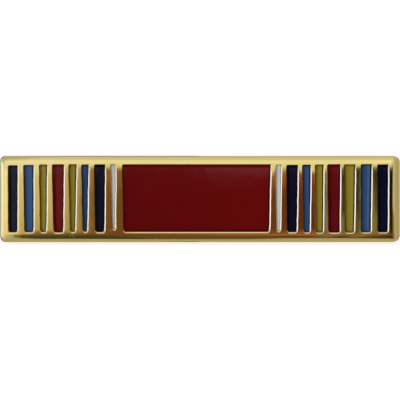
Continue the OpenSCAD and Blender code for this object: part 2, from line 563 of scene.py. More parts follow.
def noiseAt(place, scale, detail=3.0, roughness=0.5, stretch=(1, 1, 1), seed=0.0):
    # noise from -0.5 to 0.5, scale waves to a millimetre; stretch lengthens it along an axis
    tree = place.tree
    moved = addNode(
        tree,
        "ShaderNodeMapping",
        Vector=place,
        Location=[seed * s for s in seedSpread],
        Scale=[scale / s for s in stretch],
    )
    grain = addNode(
        tree, "ShaderNodeTexNoise", Vector=moved.outputs[0], Scale=1.0, Detail=detail, Roughness=roughness
    )
    return Term(tree, grain.outputs[0]) - 0.5


def tinted(colour, strength):
    # a colour scaled by a factor near 1
    scaled = addNode(strength.tree, "ShaderNodeVectorMath", {"operation": "SCALE"}, Scale=strength)
    feed(strength.tree, scaled.inputs[0], colour)
    return scaled.outputs[0]


def blended(share, first, second):
    # the first colour where share is 0, the second where it is 1
    mix = addNode(share.tree, "ShaderNodeMix", {"data_type": "RGBA"})
    factor, colourA, colourB = (mix.inputs[i] for i in (0, 6, 7))
    for socket, item in ((factor, share), (colourA, first), (colourB, second)):
        feed(share.tree, socket, (*item, 1) if isinstance(item, tuple) else item)
    return mix.outputs[2]


# Unevenness that metal and enamel share
handling = {
    "smudge": {"scale": 0.55, "detail": 4, "roughness": 0.6},
    "smudgeLevels": (-0.02, 0.28),  # noise between which a smudge comes in
    "scratch": {"scale": 9.6, "detail": 2, "stretch": (26, 1, 1)},
    "scratchLevels": (0.22, 0.27),
    "scratches": ((0.5, 3.5), (-0.9, -6.3)),  # their direction in radians, and a seed
    "seedSpread": (1, 2.1, 0.6),
    "goldSeed": 3.1,
    "enamelSeed": 11.0,
}


def handlingGroup():
    # marks of handling: a soft smudge mask, and a mask of fine scratches
    tree, given, result = newGroup(
        "handlingMarks",
        "ShaderNodeTree",
        {"Place": "Vector", "Seed": "Float"},
        floats("Smudge", "Scratch"),
    )
    moved = addNode(tree, "ShaderNodeVectorMath", {"operation": "ADD"})
    feed(tree, moved.inputs[0], given["Place"])
    feed(tree, moved.inputs[1], vector(tree, *(given["Seed"] * s for s in handling["seedSpread"])))
    place = Term(tree, moved.outputs[0])
    smudge = rising(noiseAt(place, **handling["smudge"]), *handling["smudgeLevels"])
    marks = []
    for angle, seed in handling["scratches"]:
        flat = {"rotation_type": "Y_AXIS"}
        turned = addNode(tree, "ShaderNodeVectorRotate", flat, Vector=place, Angle=angle)
        streak = noiseAt(Term(tree, turned.outputs[0]), **handling["scratch"], seed=seed)
        marks.append(rising(streak, *handling["scratchLevels"]))
    feed(tree, result.inputs["Smudge"], smudge)
    feed(tree, result.inputs["Scratch"], marks[0].most(marks[1]))
    return tree


handlingMarks = handlingGroup()


def startMaterial(name, **values):
    # a material with its constant values on the shader itself
    material = bpy.data.materials.new(name)
    material.use_nodes = True
    shader = material.node_tree.nodes["Principled BSDF"]
    for key, value in values.items():
        shader.inputs[key.replace("_", " ")].default_value = value
    return material, material.node_tree, shader


def surface(tree, shader, colour, rough, height):
    # gives a shader its colour, its roughness and a height in millimetres
    bump = addNode(tree, "ShaderNodeBump", Height=height, Strength=1.0, Distance=millimetre)
    feed(tree, shader.inputs["Base Color"], colour)
    feed(tree, shader.inputs["Roughness"], rough)
    feed(tree, shader.inputs["Normal"], bump.outputs[0])


def storedParts(tree, name):
    # the three numbers that a geometry tree stored under this name
    kept = addNode(tree, "ShaderNodeAttribute", {"attribute_name": name})
    return partsOf(tree, kept.outputs["Vector"])


# Gold plate: mirror-bright in front, sheared at the sides, stippled behind. Millimetres.
gilding = {
    "colour": (0.9, 0.74, 0.27),
    "warm": (0.9, 0.69, 0.22),
    "rubbed": (1.0, 0.95, 0.66),  # painted highlight on the shoulders at the right and the foot, which face the light
    "deep": (0.36, 0.23, 0.035),  # painted shade on the shoulders at the left and the top, away from the light
    "glancing": (1.0, 0.92, 0.62, 1.0),  # tint of what it mirrors at a glancing angle
    "walls": 0.3,  # how much rougher the walls of the cells are
    "grime": 0.8,  # how dark the painted shade is in the gap at the right and the foot of a cell
    "hue": {"scale": 0.35},  # where the gold is warmer
    "hueLevels": (-0.05, 0.25),
    "hueShare": 0.35,
    "polish": 0.035,  # roughness of the face
    "smudged": 0.025,  # what a smudge adds to it
    "scratched": 0.06,
    "scratchShade": 0.02,
    "scratchDepth": 0.0006,
    "satin": 0.34,  # roughness of the back
    "sheared": 0.26,
    "turned": 0.2,  # and of the post
    "peel": {"scale": 1.6, "detail": 2, "seed": 5},  # ripples in the polish
    "peelDepth": 0.0004,
    "drawn": {"scale": 7, "detail": 2, "stretch": (1, 1, 12), "seed": 1},  # streaks up the ridges
    "drawnDepth": 0.0001,
    "shear": {"scale": 6, "stretch": (1, 9, 1), "seed": 2},
    "shearDepth": 0.006,
    "stipple": {"scale": 9, "roughness": 0.6, "seed": 8},
    "stippleDepth": 0.012,
    "ringTurn": 60.0,  # radians to a millimetre, of the rings round the post
    "ringDepth": 0.001,
    "faceEdge": (-0.72, -0.6),  # where the polish gives way to the sides
    "backEdge": (-0.03, -0.005),
    "postEdge": (0.36, 0.42),
}


def goldPlate():
    glancing = gilding["glancing"]
    material, tree, shader = startMaterial("goldPlate", Metallic=1.0, Specular_Tint=glancing)
    place = mapped(tree)
    depth = partsOf(tree, place)[1]
    edges = ("faceEdge", "backEdge", "postEdge")
    behindFace, onBack, onPost = (rising(depth, *gilding[edge]) for edge in edges)
    smudge, scratch = useGroup(tree, handlingMarks, place=place, seed=handling["goldSeed"])
    rubbed, inWall, gapShaded = storedParts(tree, "worn")
    hue = rising(noiseAt(place, **gilding["hue"]), *gilding["hueLevels"])
    colour = blended(hue * gilding["hueShare"], gilding["colour"], gilding["warm"])
    # painted highlight on the shoulders that face the light
    colour = blended(rubbed.most(0), colour, gilding["rubbed"])
    # painted shade on the shoulders at the left and the top
    colour = blended((rubbed * -1).most(0), colour, gilding["deep"])
    # scratches a little darker, and painted shade in the gaps at the right and the foot
    scratchedAndGapShaded = (1 - scratch * gilding["scratchShade"]) * (1 - gapShaded * gilding["grime"])
    rough = gilding["polish"] + smudge * gilding["smudged"] + scratch * gilding["scratched"]
    rough = eased(rough + inWall * gilding["walls"], gilding["sheared"], behindFace)
    rough = eased(eased(rough, gilding["satin"], onBack), gilding["turned"], onPost)

    def relief(kind):
        return noiseAt(place, **gilding[kind]) * gilding[kind + "Depth"]

    front = (relief("peel") + relief("drawn") - scratch * gilding["scratchDepth"]) * (1 - behindFace)
    sides = relief("shear") * behindFace * (1 - onBack)
    back = relief("stipple") * onBack * (1 - onPost)
    rings = (depth * gilding["ringTurn"]).sine() * gilding["ringDepth"] * onPost
    surface(tree, shader, tinted(colour, scratchedAndGapShaded), rough, front + sides + back + rings)
    return material


# Soft enamel: colours as painted, with painted light and shade laid over them, and a glossy, slightly wavy
# skin
enamelColours = {
    "enamel_red": (0.125, 0.0022, 0.003),
    "enamel_navy": (0.0027, 0.0044, 0.0165),
    "enamel_blue": (0.03, 0.076, 0.183),
    "enamel_olive": (0.29, 0.225, 0.019),
    "enamel_white": (0.63, 0.63, 0.612),
}
enamel = {
    "roughness": 0.05,
    "smudged": 0.08,  # what a smudge adds to it
    "specular": 0.24,
    "mottle": {"scale": 0.9, "detail": 4, "roughness": 0.55, "stretch": (1, 1, 2.5), "seed": 4},
    "mottleShare": 0.22,  # strength of these soft clouds in the colour
    "grain": {"scale": 9, "detail": 2, "seed": 6},
    "grainShare": 0.1,
    "fade": 0.01,  # painted light from above: how much paler the top is, and darker the foot
    # the white's runs the other way: its foot is painted paler, against the shade in its narrow foot
    "ownFade": {"enamel_white": -0.11},
    "sideways": 0.12,  # and how much paler the right side is, as painted light from the left
    "rim": (0.12, 0.62),  # how much painted shade darkens the colour against the left and the right wall
    "rimWidth": (0.0, 0.07),
    "rimShare": {"enamel_white": 0.15},  # this colour lies nearly flush, so less of it is in shade
    # a painted reflection: a pale band across some fills
    "sheen": (0.65, 0.9, 0.9),
    "sheenAcross": (0.1, 0.42, 0.62, 0.84),
    "sheenDrift": 0.2,  # how far the clouds move the band's left edge
    "ripple": {"scale": 2.2, "detail": 2, "stretch": (1, 1, 1.8), "seed": 9},
    "rippleDepth": 0.0012,
    "pit": {"scale": 3.2, "detail": 1, "seed": 12},
    "pitDepth": 0.004,
    "pitLevels": (0.26, 0.34),
}


def softEnamel(slot, colour):
    name = slot.replace("_", "") + "Gloss"
    material, tree, shader = startMaterial(name, Specular_IOR_Level=enamel["specular"])
    place = mapped(tree)
    across, along, toWall = storedParts(tree, "inCell")
    tone, sheen, _ = storedParts(tree, "look")
    smudge, _ = useGroup(tree, handlingMarks, place=place, seed=handling["enamelSeed"])
    mottle, grain, ripple, pit = (
        noiseAt(place, **enamel[kind]) for kind in ("mottle", "grain", "ripple", "pit")
    )
    strength = 1 + mottle * enamel["mottleShare"] + grain * enamel["grainShare"]
    # painted light from above, paler at the top and darker at the foot
    strength = strength + along * enamel["ownFade"].get(slot, enamel["fade"])
    # painted shade against the left and the right wall of the cell
    rim = 1 - rising(toWall, *enamel["rimWidth"])
    rim = rim * eased(*enamel["rim"], (across + 1) * 0.5) * enamel["rimShare"].get(slot, 1)
    # painted light from the left, paler at the right, and painted shade at the walls; the tone is the
    # fill's own
    strength = (strength + across * enamel["sideways"]) * (1 - rim) * tone
    # painted reflection, a pale band across the fill
    start, full, fall, end = enamel["sheenAcross"]
    band = rising(across + mottle * enamel["sheenDrift"], start, full) * (1 - rising(across, fall, end))
    mixed = blended(band * sheen, tinted(colour, strength), enamel["sheen"])
    rough = enamel["roughness"] + smudge * enamel["smudged"]
    height = ripple * enamel["rippleDepth"] - rising(pit, *enamel["pitLevels"]) * enamel["pitDepth"]
    surface(tree, shader, mixed, rough, height)
    return material


gold = goldPlate()
enamels = {slot: softEnamel(slot, colour) for slot, colour in enamelColours.items()}


def gridValues(width, height, steps):
    # step counts of a cell's grid; some steps near each corner are finer, unless it has few
    fine = cell["cornerSteps"]
    isFine = steps > 4 * fine
    fineAcross = fine if isFine else steps // 4
    zone = 2 * fineAcross / steps
    if isFine:
        zone = min(cell["cornerZone"] / (width / 2), zone)
    return {
        "Steps Across": steps,
        "Steps Up": cell["stepsUp"],
        "Fine Across": float(fineAcross),
        "Fine Up": float(fine),
        "Fine Share Across": zone,
        "Fine Share Up": cell["cornerZone"] / (height / 2),
    }


tileEdges = []
for left, right in zip(fillOrder, fillOrder[1:]):
    a, b = fills[left], fills[right]
    tileEdges.append((a["Right Foot"] + a["Right Top"] + b["Left Foot"] + b["Left Top"]) / 4)
first, last = fills[fillOrder[0]], fills[fillOrder[-1]]
tileEdges.insert(0, min(first["Left Foot"], first["Left Top"]) - cell["margin"])
tileEdges.append(max(last["Right Foot"], last["Right Top"]) + cell["margin"])
tileFoot, tileTop = first["Foot"] - cell["margin"], first["Top"] + cell["margin"]

wallsTree = cellWalls()
trimmedSides = ("Left Top", "Left Foot", "Right Top", "Right Foot", "Top", "Foot")
steepWidth, slopedWidth = cell["slopeWidths"]
firstSeed, seedStep = cell["waveSeeds"]
cellValues = {}
tiles = []
for place, node in enumerate(fillOrder):
    shape, own = fills[node], cells[node]
    width = meanWidth(shape)
    isWide = width > cell["wideFrom"]
    slope = min(1, max(cell["leastSlope"], (width - steepWidth) / (slopedWidth - steepWidth)))
    slopes = socketValues(cell, "Draft", "Draft Up", "Wall Slip", "Wall Slip Up")
    cellValues[node] = {
        **{side: shape[side] + trim for side, trim in zip(trimmedSides, own["trim"])},
        **{name: value * slope for name, value in slopes.items()},
        **gridValues(width, shape["Top"] - shape["Foot"], cell["stepsWide" if isWide else "stepsNarrow"]),
        **socketValues(cell, "Top Radius", "Wave", "Wave Size"),
        "Foot Radius": min(cell["footRadius"], cell["narrowShare"] * width),
        "Seed": seedStep * place + firstSeed,
    }
    cellValues[node]["Foot"] -= 0 if isWide else cell["outerFoot"]
    values = {
        **cellValues[node],
        **socketValues(cell, "Shoulder", "Shoulder Slip", "Shoulder Drop", "Foot Rub", "Chamfer"),
        **socketValues(cell, "Crown Drop", "Shoulder Steps", "Crown Steps"),
        "Material": gold,
        "Tile Left": tileEdges[place],
        "Tile Right": tileEdges[place + 1],
        "Tile Foot": tileFoot,
        "Tile Top": tileTop,
        "Surface": -faceDepth,
        "Bed": cell["depth"] - faceDepth,
        "Foot Drop": own.get("footDrop", cell["footDrop"]),
    }
    tiles.append(makeMesh(wallsTree, "tile" + str(place), values))
print("cells struck:", len(tiles), "tiles,", sum(len(t.vertices) for t in tiles), "points")

# The rest of the bar and its post. Millimetres.
bar = {
    "bevel": {"left": 0.3, "right": 0.5, "foot": 0.42, "top": 0.36},  # width of the rounding, by side
    "bevelDrop": 0.34,  # how far the rounding falls back at the bar's outline
    "cornerPower": 2.3,  # 2 for round corners seen from the front, more for squarer ones
    "pillowAlong": 0.1,  # how far the face falls back at the bar's ends
    "pillowUp": 0.055,  # and at its foot and top
    "unevenness": 0.0015,
    "unevenSize": 0.55,  # per millimetre
    "unevenSeed": 4.2,
    "frameSteps": 12,
    "sideRows": (0.15, 0.5, 0.85, 1.0),  # rows of corners down the sides, as shares of their depth
    "backRounding": 0.04,
    "backSteps": 3,
    "weld": 0.0006,
    "nearFace": 0.001,  # a corner up to this far below the shoulders still belongs to the face
}
post = {
    "length": 8.0,
    "shankRadius": 0.55,
    "flangeRadius": 1.6,
    "flangeThickness": 0.35,
    "flangeRounding": 0.09,
    "solderFillet": 0.14,
    "shankFillet": 0.1,
    "tipLength": 2.0,
    "tipRadius": 0.12,
    "tipRows": (0.12, 0.35, 0.6, 0.8, 0.93),  # as shares of the tip's length
    "tipSwell": 0.02,
    "tipArc": (20, 88),  # degrees of its blunt end
    "tipEase": (0.12, 0.012),  # length and depth of the rounding where the tip starts
    "grooveDepth": 0.18,
    "grooveWidth": 0.35,
    "grooveToTip": 0.5,
    "edgeRounding": 0.05,
    "edgeEase": (0.3, 0.4),  # shares of it that round the groove's edges, inwards and along
    "sides": 64,
    "roundSteps": 5,
}


def pastFlat(x, z):
    # how far a place lies in the rounding: the widths there, the shares of them, and both together
    bevelX = bar["bevel"]["left" if x < 0 else "right"]
    bevelZ = bar["bevel"]["foot" if z < barMiddle else "top"]
    overX = max(0, abs(x) - (halfLength - bevelX)) / bevelX
    overZ = max(0, abs(z - barMiddle) - (barMiddle - bevelZ)) / bevelZ
    power = bar["cornerPower"]
    return bevelX, bevelZ, overX, overZ, (overX**power + overZ**power) ** (1 / power)


def faceDrop(x, z):
    # how far the struck face falls back from its plane at a place
    over = min(1, pastFlat(x, z)[-1])
    held = math.sqrt(1 - over * over)
    pillow = bar["pillowAlong"] * (x / halfLength) ** 2
    pillow += bar["pillowUp"] * ((z - barMiddle) / barMiddle) ** 2
    place = Vector((x, z, bar["unevenSeed"])) * bar["unevenSize"]
    uneven = bar["unevenness"] * (1 + noise.noise(place))
    return bar["bevelDrop"] * (1 - held) + (pillow + uneven) * held


def roundCorner(x, z):
    # draws a point of a rectangle in towards the bar's rounded corner
    bevelX, bevelZ, overX, overZ, over = pastFlat(x, z)
    if overX == 0 or overZ == 0:
        return x, z
    shrink = max(overX, overZ) / over
    newX = math.copysign(halfLength - bevelX + overX * shrink * bevelX, x)
    newZ = barMiddle + math.copysign(barMiddle - bevelZ + overZ * shrink * bevelZ, z - barMiddle)
    return newX, newZ


def ringOf(edges):
    # the corners of a closed run of edges, in order
    neighbours = {}
    for edge in edges:
        a, b = edge.verts
        neighbours.setdefault(a, []).append(b)
        neighbours.setdefault(b, []).append(a)
    start = next(iter(neighbours))
    ring, before = [start], None
    while True:
        following = next(v for v in neighbours[ring[-1]] if v is not before)
        if following is start:
            return ring
        before = ring[-1]
        ring.append(following)


def addRing(work, previous, points):
    # a new ring of corners, joined to the ring before it
    ring = [work.verts.new(p) for p in points]
    for i, corner in enumerate(ring):
        work.faces.new((previous[i - 1], previous[i], corner, ring[i - 1]))
    return ring


def fillet(centreR, centreY, radius, fromAngle, toAngle):
    # points of an arc in the post's profile, radius against y
    points = []
    for i in range(post["roundSteps"] + 1):
        angle = math.radians(fromAngle + (toAngle - fromAngle) * i / post["roundSteps"])
        points.append((centreR + radius * math.cos(angle), centreY + radius * math.sin(angle)))
    return points


def postProfile():
    # the post from the solder at the bar's back to its tip, as pairs of radius and y
    solder, rounding, blend = post["solderFillet"], post["flangeRounding"], post["shankFillet"]
    flange, thickness, shank = post["flangeRadius"], post["flangeThickness"], post["shankRadius"]
    profile = fillet(flange + solder, solder, solder, -90, -180)
    profile += fillet(flange - rounding, thickness - rounding, rounding, 0, 90)
    profile += fillet(shank + blend, thickness + blend, blend, -90, -180)
    tip, tipLength, depth = post["tipRadius"], post["tipLength"], post["grooveDepth"]
    tipStart = post["length"] - tipLength
    grooveEnd = tipStart - post["grooveToTip"]
    grooveStart = grooveEnd - post["grooveWidth"] - 2 * depth
    edge = post["edgeRounding"]
    easeIn, easeAlong = (share * edge for share in post["edgeEase"])
    groove = [
        (shank, grooveStart - edge),
        (shank - easeIn, grooveStart + easeAlong),
        (shank - depth + easeAlong, grooveStart + depth - easeAlong),
        (shank - depth, grooveStart + depth + edge),
    ]
    profile += [(shank, (thickness + grooveStart) / 2), *groove]
    profile += [(radius, grooveStart + grooveEnd - y) for radius, y in reversed(groove)]
    easeLength, easeDepth = post["tipEase"]
    profile += [(shank, tipStart - easeLength), (shank - easeDepth, tipStart)]
    for share in post["tipRows"]:
        radius = shank - (shank - tip) * share + post["tipSwell"] * math.sin(math.pi * share)
        profile.append((radius, tipStart + share * tipLength))
    return profile + fillet(0, post["length"] - tip, tip, *post["tipArc"])


def struckBar():
    # one closed mesh: the struck face, its rounded rim, the sides, the back and the soldered post
    work = bmesh.new()
    for tile in tiles:
        work.from_mesh(tile)
    bmesh.ops.remove_doubles(work, verts=work.verts, dist=bar["weld"])
    shoulderFoot = cell["shoulderDrop"] - faceDepth
    for corner in work.verts:
        if corner.co.y <= shoulderFoot + bar["nearFace"]:
            corner.co.y += faceDrop(corner.co.x, corner.co.z)
    ring = ringOf([e for e in work.edges if e.is_boundary])
    start = [(v.co.x, v.co.z) for v in ring]
    middleX, halfX = (tileEdges[0] + tileEdges[-1]) / 2, (tileEdges[-1] - tileEdges[0]) / 2
    middleZ, halfZ = (tileFoot + tileTop) / 2, (tileTop - tileFoot) / 2
    for step in range(1, bar["frameSteps"] + 1):
        share = math.sin(math.pi / 2 * step / bar["frameSteps"])
        points = []
        for x, z in start:
            flatX = eased(x, (x - middleX) / halfX * halfLength, share)
            flatZ = eased(z, barMiddle + (z - middleZ) / halfZ * barMiddle, share)
            roundX, roundZ = roundCorner(flatX, flatZ)
            newX, newZ = eased(flatX, roundX, share), eased(flatZ, roundZ, share)
            points.append((newX, faceDrop(newX, newZ) - faceDepth, newZ))
        ring = addRing(work, ring, points)
    outline = [(v.co.x, v.co.z) for v in ring]
    rounding = bar["backRounding"]
    for share in bar["sideRows"]:
        y = eased(bar["bevelDrop"] - faceDepth, -rounding, share)
        ring = addRing(work, ring, [(x, y, z) for x, z in outline])
    for step in range(1, bar["backSteps"] + 1):
        angle = math.pi / 2 * step / bar["backSteps"]
        inset = rounding * (1 - math.cos(angle))
        y = -rounding * (1 - math.sin(angle))
        shrinkX, shrinkZ = 1 - inset / halfLength, 1 - inset / barMiddle
        points = [(x * shrinkX, y, barMiddle + (z - barMiddle) * shrinkZ) for x, z in outline]
        ring = addRing(work, ring, points)
    backEdges = [work.edges.get((ring[i - 1], ring[i])) for i in range(len(ring))]
    postRing = None
    for radius, y in postProfile():
        points = []
        for i in range(post["sides"]):
            angle = 2 * math.pi * i / post["sides"]
            points.append((radius * math.cos(angle), y, barMiddle + radius * math.sin(angle)))
        if postRing:
            postRing = addRing(work, postRing, points)
        else:
            postRing = [work.verts.new(p) for p in points]
            backEdges += [work.edges.new((postRing[i - 1], v)) for i, v in enumerate(postRing)]
    work.faces.new(postRing)
    bmesh.ops.triangle_fill(work, use_beauty=True, edges=backEdges, normal=(0, 1, 0))
    bmesh.ops.recalc_face_normals(work, faces=work.faces)
    mesh = bpy.data.meshes.new("struckBar")
    work.to_mesh(mesh)
    openEdges = sum(1 for e in work.edges if not e.is_manifold)
    work.free()
    print("bar:", len(mesh.vertices), "points,", len(mesh.polygons), "faces,", openEdges, "open edges")
    return mesh


barMesh = struckBar()
barMesh.materials.append(gold)
makePiece(barMesh, "struckBarWithPost", "gold_plate", barNode)

# The enamel. Millimetres.
fill = {
    "sink": 0.14,  # how far the enamel's flat lies below the face
    "narrowSink": 0.08,  # and in the narrowest cells
    "narrowWidth": 0.26,
    "narrowClearance": 0.006,
    "climb": 0.006,  # how far it climbs its left and top walls
    "climbWidth": 0.16,
    "clearance": 0.014,
    "gapSlip": 0.01,  # the gap is wider at the right and the foot, and narrower opposite
    "swell": 0.003,
    "swellSize": 0.9,
}
fillTree = enamelFill()
for node in fillOrder:
    shape, slot, own = fills[node], enamelSlots[node], cells[node]
    isNarrow = meanWidth(shape) < fill["narrowWidth"]
    sink = fill["narrowSink"] if isNarrow else fill["sink"]
    middle = (shape["Left Foot"] + shape["Right Top"]) / 2
    fallenBack = bar["pillowAlong"] * (middle / halfLength) ** 2
    wallHeight = cell["depth"] - cell["shoulderDrop"] - fallenBack
    values = {
        **cellValues[node],
        **socketValues(fill, "Climb", "Climb Width", "Swell", "Swell Size"),
        **socketValues(bar, "Pillow Along", "Pillow Up"),
        "Material": enamels[slot],
        "Surface": sink - faceDepth,
        "Bed": shape["Bed"],
        "Face Share": (sink - fill["climb"] - cell["shoulderDrop"]) / wallHeight,
        "Bed Share": (shape["Bed"] + faceDepth - cell["shoulderDrop"] - fallenBack) / wallHeight,
        "Half Length": float(halfLength),
        "Middle": float(barMiddle),
        "Clearance": fill["narrowClearance"] if isNarrow else fill["clearance"],
        "Gap Slip": 0.0 if isNarrow else fill["gapSlip"],
        "Tone": own.get("tone", 1.0),
        "Sheen": own.get("sheen", 0.0),
    }
    makePiece(makeMesh(fillTree, node + "Fill", values), "enamel_" + node, slot, node)
print("enamel laid in:", len(fillOrder), "fills")

# Floor, light and camera
stage = {
    "floorHalf": 0.6,
    "floorColour": (0.48, 0.5, 0.52),
    "floorGlow": 0.8,
    "floorRoughness": 0.8,
    "floorGrain": {"scale": 1.5, "detail": 4},
    "floorGrainShare": 0.02,
    "backdrop": 0.97,  # level of the plain background that the camera sees
    "cameraDistance": 150.0,  # millimetres from the bar's outline
    "cameraReach": (0.01, 2),
    "sensor": 36,
    "frameWidth": 22.21,  # millimetres of the bar across the picture
    "picture": 400,  # its width and height
    "pictureRow": 198.95,  # its row where the bar's middle lies
}
floorMesh = bpy.data.meshes.new("floor")
half = stage["floorHalf"]
floorCorners = [(-half, -half, 0), (half, -half, 0), (half, half, 0), (-half, half, 0)]
floorMesh.from_pydata(floorCorners, [], [(0, 1, 2, 3)])
floor = bpy.data.objects.new("floor", floorMesh)
scene.collection.objects.link(floor)


def paleFloor():
    material, tree, shader = startMaterial(
        "paleFloor",
        Roughness=stage["floorRoughness"],
        Emission_Color=(1, 1, 1, 1),
        Emission_Strength=stage["floorGlow"],
    )
    grain = noiseAt(mapped(tree), **stage["floorGrain"])
    colour = tinted(stage["floorColour"], 1 + grain * stage["floorGrainShare"])
    feed(tree, shader.inputs["Base Color"], colour)
    return material


floorMesh.materials.append(paleFloor())
floor.visible_glossy = False  # the polished metal mirrors the tent, not the floor

# Light tent, as the polished face mirrors it. Levels are of light; angles are degrees from straight
# out of the face, to the right and upwards. Three numbers are two angles and what is added between
# them; four are the angles of a band that comes in between the first two and goes between the others.
tent = {
    "level": 0.66,
    "toLeft": 0.25,  # how much brighter the left side is, and the right side darker
    "toTop": 0.06,
    "toFoot": 1.3,  # how much darker it is below, on the left
    "farRight": (55, 80, 0.2),
    "behind": (60, 90, 0.2),  # the share that it loses behind the bar
    "rimUp": (4, 7, 22, 46),  # a brighter rim above the opening
    "rimSides": (-50, -35, 12, 20),
    "rimLight": 0.24,
    "leftRimSides": (-80, -62, -26, -8),  # and one on the left
    "leftRimTop": (30, 60),
    "leftRimLight": 0.2,
    "farLeft": (-98, -86, 0.58),  # the share that it loses beyond these angles
    "farLeftEnd": (-130, -112, 0.4),  # and gains again
    "farLeftTop": (30, 60),  # neither reaches above these angles
    "dimSides": (-6.6, -5.4),  # it is dimmer high up on the left
    "dimUp": (13, 24, 60, 84),
    "dimShare": 0.36,
    "cornerSides": (-26, -12),  # and further to the left
    "cornerUp": (3.9, 5.5, 0.45),
    "cornerEnd": (50, 70),
    "front": 0.6,  # level round the straight line to the camera
    "frontReach": (8.5, 12),
    "frontSlope": 0.02,  # its rise per degree upwards
    "frontSlopeEnds": (-6, 6),
    "frontTop": (3.0, 4.3),
    "frontTopLight": 0.14,
    "frontLine": (4.85, 5.1, 0.06),  # brighter still above this
    "frontLeft": (-6.06, -5.98, 0.44),  # and to the left of this
    "frontLeftUp": (-9, -6, 3.8, 4.6),
    "frontTint": (1.07, 0.96, 0.9),
    "frontTopTint": (1.0, 1.0, 0.95),
    "frontLeftTint": (1.0, 1.0, 1.25),  # the same, on the left
    "frontLeftSides": (-4.5, -2.5),
    "frontLowTint": (1.07, 0.9, 0.62),  # and low down
    "frontLow": (1.0, 4.5),  # angles downwards between which it comes in
    "tint": (0.97, 1.0, 1.22),
    "rightTint": (0.9, 0.84, 0.93),
    "rightTintSides": (15, 40),
    "key": (0.2, 0.26, 0.6),  # a bluish window, far to the left
    "keySides": (-86, -58, 6),  # its left and right edge, and how soft they are
    "keyUp": (-30, 30, 16),
    "diffuseShare": 0.5,  # share of this light that matt surfaces get; the lamp gives the rest
    "spot": (0.22, 0.22, 0.3),  # a small bright patch above, on the right
    "spotSides": (5.6, 9, 1),
    "spotUp": (8, 16, 4),
}
# The dark opening in front, where the camera looks in
gap = {
    "leftEdge": (-4.85, -3.0),
    "rightEdge": (13, 19.5),
    "rightEdgeLow": (-2.6, -1.0, 10),  # below these angles it lies further to the right
    "topEdge": 4.45,
    "topSoft": (-0.35, 0.35),
    "topDip": (0, 2.45, 0.25),  # its top edge is lower here
    "topDipDepth": 1.0,
    "topStep": (2.5, 3.2, -0.5),
    "topRise": (3.6, 4.4, 0.55),
    "lowLeftEdge": (-6.05, -5.96),  # below, it reaches further to the left
    "lowEdge": (-4.95, -4.2),
    "lowSlope": (-5.2, 4.8),  # its top edge falls to the left of this angle, by so much per degree
    "lowSlopeReach": 2.5,
    "bottom": -60,
    "bottomEnd": (-6.0, -5.1, 12),  # how much higher the bottom edge is at the left end
    "bottomLeft": (-5.0, -1.2, 12.5),  # and all over the left, and the right
    "bottomRight": (1.7, 2.9, 15),
    "bottomFar": (3.2, 4.2, 4.5),
    "bottomSoft": (-3.5, 3.5),
    "lowTint": (0.33, 0.145, 0.09),  # a warmer light low down
    "lowTintUp": (-20, -14, -5.2, -4.2),
    "lowTintSides": (-3, 2.6),
    "lowTintEnd": (4.2, 5.6, 0.6),  # the share that it loses at the right
    "glow": (0.4, 3.6),  # angles between which it gets brighter
    "glowLeft": 0.55,  # and by how much, from left to right
    "glowMiddle": (-2.2, 2.4, 0.75),
    "glowRight": (3.7, 4.0, -0.95),
    "glowFar": (4.2, 4.45, -0.9),
    "lowSide": (4.25, 4.45, 4.72, 4.92),  # some light low down, between these angles
    "lowSideFar": (5.28, 5.42, 5.66, 5.82),
    "lowSideUp": (-9, -5.5, -3.0, -1.2),
    "lowSideLight": (0.13, 0.12, 0.1),
    "floorMix": (-3.2, -1.5),
    "floorStartLeft": (9, 16),
    "floorStartRight": (22, 34),
    "floorLeft": (0.06, 0.065, 0.045),
    "floorRight": (0.12, 0.1, 0.05),
    "floorSide": (0.47, 0.44, 0.4),  # the light below it
    "floorSideSoft": (-4, 4),
}
# What stands in the opening, by angle to the right
opening = [
    (-8.0, (0.19, 0.12, 0.07)),
    (-4.0, (0.19, 0.11, 0.05)),
    (-2.4, (0.18, 0.07, 0.035)),
    (2.3, (0.14, 0.055, 0.025)),
    (3.1, (0.13, 0.03, 0.02)),
    (3.8, (0.1, 0.02, 0.012)),
    (3.92, (0.26, 0.25, 0.27)),
    (4.2, (0.22, 0.21, 0.24)),
    (4.38, (0.13, 0.13, 0.16)),
    (4.6, (0.035, 0.03, 0.03)),
    (5.02, (0.018, 0.015, 0.018)),
    (5.1, (0.3, 0.25, 0.2)),
    (5.3, (0.3, 0.25, 0.2)),
    (5.42, (0.045, 0.03, 0.02)),
    (5.55, (0.06, 0.045, 0.025)),
    (5.62, (0.14, 0.13, 0.09)),
    (5.74, (0.14, 0.13, 0.1)),
    (5.85, (0.015, 0.01, 0.01)),
    (12.0, (0.02, 0.012, 0.01)),
    (16.0, (0.2, 0.14, 0.05)),
    (22.0, (0.4, 0.3, 0.12)),
]

world = bpy.data.worlds.new("studio")
scene.world = world
world.use_nodes = True
studio = world.node_tree
studio.nodes.clear()
fromFace = addNode(
    studio,
    "ShaderNodeMapping",
    {"vector_type": "TEXTURE"},
    Vector=addNode(studio, "ShaderNodeTexCoord").outputs["Generated"],
    Rotation=(-lean, 0, 0),
)
right, away, above = partsOf(studio, fromFace.outputs[0])
towards = away * -1
left = right * -1
degrees = 180 / math.pi
sideways = right.join("ARCTAN2", towards) * degrees  # angle to the right of straight at the face
upAngle = above.join("ARCTAN2", (right * right + towards * towards).root()) * degrees
downAngle = upAngle * -1
tilt = towards.join("ARCCOSINE") * degrees
crosswise = right.join("ARCTAN2", towards + 1) * 2 * degrees  # angle sideways, however steep it is


def added(value, span):
    # comes in between two angles
    return rising(value, *span[:2]) * span[2]


def before(value, span):
    # goes out between two angles
    return (1 - rising(value, *span[:2])) * (span[2] if len(span) > 2 else 1)


def between(value, span):
    return rising(value, *span[:2]) * before(value, span[2:])


def window(value, span):
    start, end, soft = span
    return between(value, (start - soft, start + soft, end - soft, end + soft))


